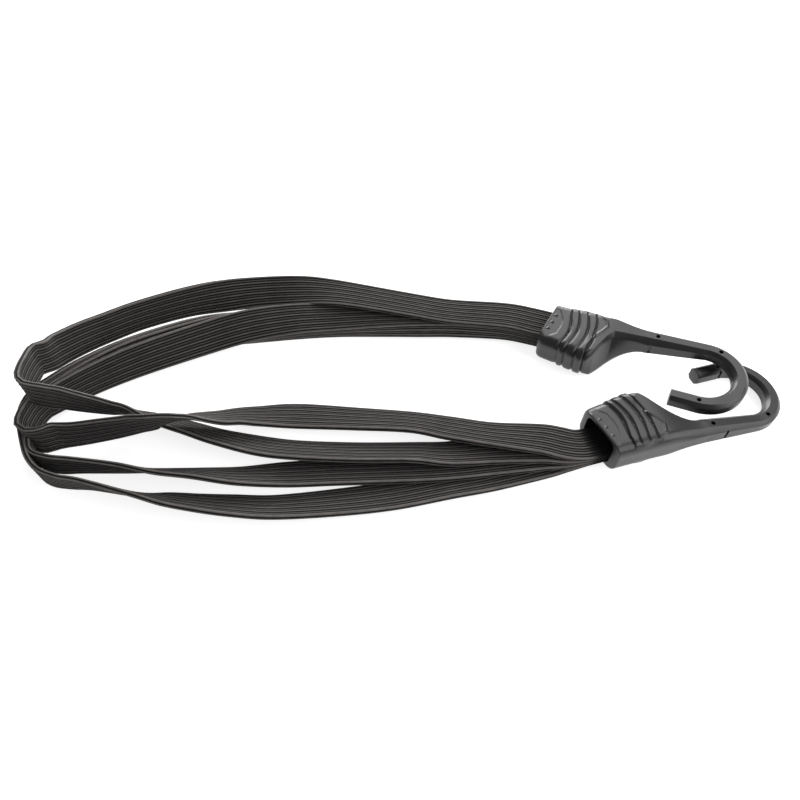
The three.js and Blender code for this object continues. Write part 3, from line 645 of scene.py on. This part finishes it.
# Grip on both faces of the boot and round its curl-side edge, in millimetres: a plate with swept grooves
# that end in narrow slots, and a sunk lip with three teeth at the mouth. A pair of numbers is where a
# change starts and ends: across the boot for slotFade and ribFade, along it for borderFade and mouthFade,
# in half widths of a groove for grooveWall and ribWall, and as the surface turns for facing.
grip = {
    "grooveAcross": (-10.5, -5, 0, 4, 8, 12, 16),
    "grooves": [
        (9.6, 9.8, 10.6, 11.0, 10.2, 8.6, 7.4),
        (12.4, 13.5, 14.2, 14.2, 13.2, 12.0, 11.2),
        (16.2, 17.6, 18.5, 18.6, 17.9, 16.7, 15.7),
        (20.2, 21.3, 21.9, 21.8, 21.3, 20.6, 20.0),
    ],
    "grooveDegree": 4, "grooveEnd": -9.6, "grooveDepth": 0.6, "grooveWall": (0.2, 1.35), "edgeTuck": 0.4,
    "slotHalf": 0.42, "sweepHalf": 0.56, "slotFade": (-6, 5),
    "ribRound": 0.18, "ribWall": (0.8, 3.2), "ribFade": (-8, 2),
    "plate": [(9.5, -11.2), (15.4, -11.4), (22.6, -10.3), (25.5, -7.8), (26.7, -4.4), (24.8, -0.4), (21.8, 4.4),
              (20.4, 9), (20, 22), (7.4, 22), (7.4, 16), (8.6, 12), (10.2, 8), (11, 4), (10.6, 0), (9.8, -5)],
    "plateRaise": 0.42, "plateEdge": 0.3,
    "borderRaise": 0.26, "borderAt": 0.5, "borderHalf": 0.42, "borderFade": (12, 15),
    "lip": [(-6, 10), (3, 9.4), (6, 6.6), (7, 1.6), (6.9, -1.6), (5.6, -5), (3.6, -8.6), (-6, -9.6)],
    "lipDrop": 0.2, "lipEdge": 0.25, "mouthFade": (0.7, 1.4), "crestGap": 2, "facing": (0.1875, 0.8125),
    "teeth": [(1.8, 4.8), (2.5, 0.6), (3.1, -3.8)],
    "toothSize": 1.55, "toothTip": 0.12, "toothHeight": 0.5, "toothSunk": 0.05,
}


# How far each point lies inside an outline, and below nought outside it.
def insideBy(x, y, corners):
    distance = np.full(x.shape, np.inf)
    inside = np.zeros(x.shape, bool)
    for (x0, y0), (x1, y1) in zip(corners, corners[1:] + corners[:1]):
        length = (x1 - x0) ** 2 + (y1 - y0) ** 2
        share = np.clip(((x - x0) * (x1 - x0) + (y - y0) * (y1 - y0)) / length, 0, 1)
        distance = np.minimum(distance, np.hypot(x - x0 - share * (x1 - x0), y - y0 - share * (y1 - y0)))
        inside ^= ((y0 > y) != (y1 > y)) & (x < (x1 - x0) * (y - y0) / (y1 - y0 + 1e-12) + x0)
    return np.where(inside, distance, -distance)


def gripRelief(x, y):
    edge = np.vectorize(curlSideEdge)(x)
    level = np.minimum(y, edge - grip["edgeTuck"] * hook["corner"])
    fromBorder = insideBy(x, y, grip["plate"])
    total = grip["plateRaise"] * smoothShare(fromBorder, -grip["plateEdge"], grip["plateEdge"])
    border = np.exp(-((fromBorder - grip["borderAt"]) / grip["borderHalf"]) ** 2)
    total = total + grip["borderRaise"] * border * smoothShare(x, *grip["borderFade"])
    fromLip = insideBy(x, y, grip["lip"])
    total = total - grip["lipDrop"] * smoothShare(fromLip, -grip["lipEdge"], grip["lipEdge"])
    half = mix(grip["slotHalf"], grip["sweepHalf"], smoothShare(y, *grip["slotFade"]))
    past = np.maximum(0, grip["grooveEnd"] - y)
    nearest = np.full(x.shape, np.inf)
    for places in grip["grooves"]:
        middle = np.polyval(np.polyfit(grip["grooveAcross"], places, grip["grooveDegree"]), level)
        away = np.hypot(x - middle, past) / half
        total = total - grip["grooveDepth"] * (1 - smoothShare(away, *grip["grooveWall"]))
        nearest = np.minimum(nearest, away)
    rounding = (1 - smoothShare(nearest, *grip["ribWall"])) * smoothShare(y, *grip["ribFade"])
    return total - grip["ribRound"] * rounding


def outward(grid):
    alongRings = np.gradient(grid, axis=0)
    aroundRing = np.roll(grid, -1, axis=1) - np.roll(grid, 1, axis=1)
    normal = np.cross(aroundRing, alongRings)
    return normal / np.maximum(np.linalg.norm(normal, axis=2), 1e-9)[:, :, None]


def cutBy(piece, cutters):
    for cutter in cutters:
        step = piece.modifiers.new("cut", "BOOLEAN")
        step.operation = "DIFFERENCE"
        step.solver = "EXACT"
        step.object = cutter
    bpy.context.view_layer.update()
    graph = bpy.context.evaluated_depsgraph_get()
    cut = bpy.data.meshes.new_from_object(piece.evaluated_get(graph))
    piece.modifiers.clear()
    piece.data = cut
    for cutter in cutters:
        bpy.data.objects.remove(cutter)


def cutterAt(shape, place):
    mesh = bpy.data.meshes.new("cutter")
    shell = bmesh.new()
    if shape == "hole":
        bmesh.ops.create_cone(shell, cap_ends=True, segments=hook["holeSides"], radius1=hook["holeRadius"],
                              radius2=hook["holeRadius"], depth=hook["holeDepth"])
    else:
        bmesh.ops.create_cube(shell, size=1)
        bmesh.ops.scale(shell, vec=hook["slitSize"], verts=shell.verts)
    bmesh.ops.translate(shell, vec=place, verts=shell.verts)
    shell.to_mesh(mesh)
    shell.free()
    cutter = bpy.data.objects.new("cutter", mesh)
    bpy.context.scene.collection.objects.link(cutter)
    return cutter


# Mould-pin holes through the rod and mould slits in its sides.
def hookCutters():
    holes, slits, outside = hook["holes"], hook["slits"], hook["slitOutside"]
    turn = math.radians(holes["curl"])

    def shankMiddle(x):
        return neckY - (x - neckX) / hook["shank"] * hook["drift"]

    def shankSide(x):
        return mix(hook["neckWidth"], hook["rodWidth"], (x - neckX) / hook["shank"]) / 2 + outside

    return [
        cutterAt("hole", (holes["shank"], shankMiddle(holes["shank"]), 0)),
        cutterAt("hole", (curlX + hook["curl"] * math.cos(turn), curlY + hook["curl"] * math.sin(turn), 0)),
        cutterAt("hole", (holes["leg"], legY, 0)),
        cutterAt("slit", (holes["leg"], legY - hook["rodWidth"] / 2 - outside, 0)),
        cutterAt("slit", (slits["outer"], shankMiddle(slits["outer"]) - shankSide(slits["outer"]), 0)),
        cutterAt("slit", (slits["inner"], shankMiddle(slits["inner"]) + shankSide(slits["inner"]), 0)),
    ]


def addTeeth(shell):
    foot = hook["half"] - grip["lipDrop"] - grip["toothSunk"] + grip["toothHeight"] / 2
    for x, y in grip["teeth"]:
        for side in (1, -1):
            tooth = bmesh.ops.create_cone(shell, cap_ends=True, segments=3, radius1=grip["toothSize"],
                                          radius2=grip["toothTip"], depth=grip["toothHeight"])["verts"]
            if side < 0:
                bmesh.ops.rotate(shell, cent=(0, 0, 0), matrix=Matrix.Rotation(math.pi, 3, "X"), verts=tooth)
            bmesh.ops.translate(shell, vec=(x, y, side * foot), verts=tooth)


def hookShape():
    grid, bootCount = hookRings()
    normal = outward(grid)[:bootCount]
    boot = grid[:bootCount]
    x, y = boot[:, :, 0], boot[:, :, 1]
    relief = gripRelief(x, y)
    faces = np.abs(normal[:, :, 2])
    curlWall = np.clip(normal[:, :, 1], 0, 1) * (x < hook["crest"] - grip["crestGap"])
    start, end = grip["facing"]
    weight = np.clip((np.maximum(faces, curlWall) - start) / (end - start), 0, 1)
    weight *= smoothShare(x + hook["mouthSlant"] * y, *grip["mouthFade"])
    grid[:bootCount] += normal * (relief * weight)[:, :, None]
    # The slot in the mouth opens into a chamber for the clip.
    slot = roundRectangle(*hook["slot"], hook["slotCorner"], 0)
    chamber = roundRectangle(*hook["chamber"], hook["chamberCorner"], 0)
    inner = [placeRing(hook["chamberEnd"], 0, 0, chamber), placeRing(hook["slotDepth"], 0, 0, chamber),
             placeRing(hook["slotDepth"], 0, 0, slot), slanted(placeRing(0, 0, 0, slot))]
    rings = np.concatenate([np.array(inner), grid])
    shape = smoothMesh("hookShape", rings.reshape(-1, 3),
                       ringFaces(len(rings), grid.shape[1], True, True), plastic)
    cutBy(shape, hookCutters())
    shell = bmesh.new()
    shell.from_mesh(shape.data)
    bmesh.ops.recalc_face_normals(shell, faces=shell.faces)
    addTeeth(shell)
    shell.to_mesh(shape.data)
    shell.free()
    shape.data.set_sharp_from_angle(angle=math.radians(hook["sharpAngle"]))
    return shape


def makeHook(side, shape):
    mesh = shape.data.copy()
    mesh.transform(hookMatrix(side) @ Matrix.Scale(millimetre, 4))
    piece = bpy.data.objects.new(f"hook{side.upper()}", mesh)
    bpy.context.scene.collection.objects.link(piece)
    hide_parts(f"hook_{side}_body")
    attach(piece, f"hook_{side}")


shape = hookShape()
for side in "ab":
    makeHook(side, shape)
bpy.data.objects.remove(shape)
for side in "ab":
    for name in (f"hook_{side}_core", f"hook_{side}_clip"):
        node = bpy.data.objects[name]
        node.data.materials.clear()
        node.data.materials.append(steel)
print("hooks made")


# Floor and light: white paper, wide soft lamps round the object and an even surround.
studio = {
    "floor": 3, "floorDrop": 0.0003, "aim": (-0.1, 0, 0), "surround": 0.25,
    "lamps": [
        {"place": (0.85, -0.3, 0.65), "size": 1.1, "power": 7},
        {"place": (-0.1, 1.2, 0.3), "size": 1, "power": 17},
        {"place": (0.3, 0.66, 0.95), "size": 0.9, "power": 4.5},
    ],
}


def makeStudio(spec):
    mesh = bpy.data.meshes.new("floor")
    shell = bmesh.new()
    bmesh.ops.create_grid(shell, x_segments=4, y_segments=4, size=spec["floor"])
    bmesh.ops.translate(shell, vec=(0, 0, -spec["floorDrop"]), verts=shell.verts)
    shell.to_mesh(mesh)
    shell.free()
    mesh.materials.append(paper)
    floor = bpy.data.objects.new("floor", mesh)
    bpy.context.scene.collection.objects.link(floor)
    for lampSpec in spec["lamps"]:
        lamp = bpy.data.lights.new("lamp", "AREA")
        lamp.shape = "DISK"
        lamp.size = lampSpec["size"]
        lamp.energy = lampSpec["power"]
        holder = bpy.data.objects.new("lamp", lamp)
        holder.location = lampSpec["place"]
        aim = Vector(spec["aim"]) - holder.location
        holder.rotation_euler = aim.to_track_quat("-Z", "Y").to_euler()
        bpy.context.scene.collection.objects.link(holder)
    world = bpy.data.worlds.new("surround")
    world.use_nodes = True
    background = world.node_tree.nodes["Background"]
    background.inputs["Color"].default_value = (1, 1, 1, 1)
    background.inputs["Strength"].default_value = spec["surround"]
    bpy.context.scene.world = world
    bpy.context.scene.view_settings.view_transform = "Standard"


makeStudio(studio)
print("studio made")
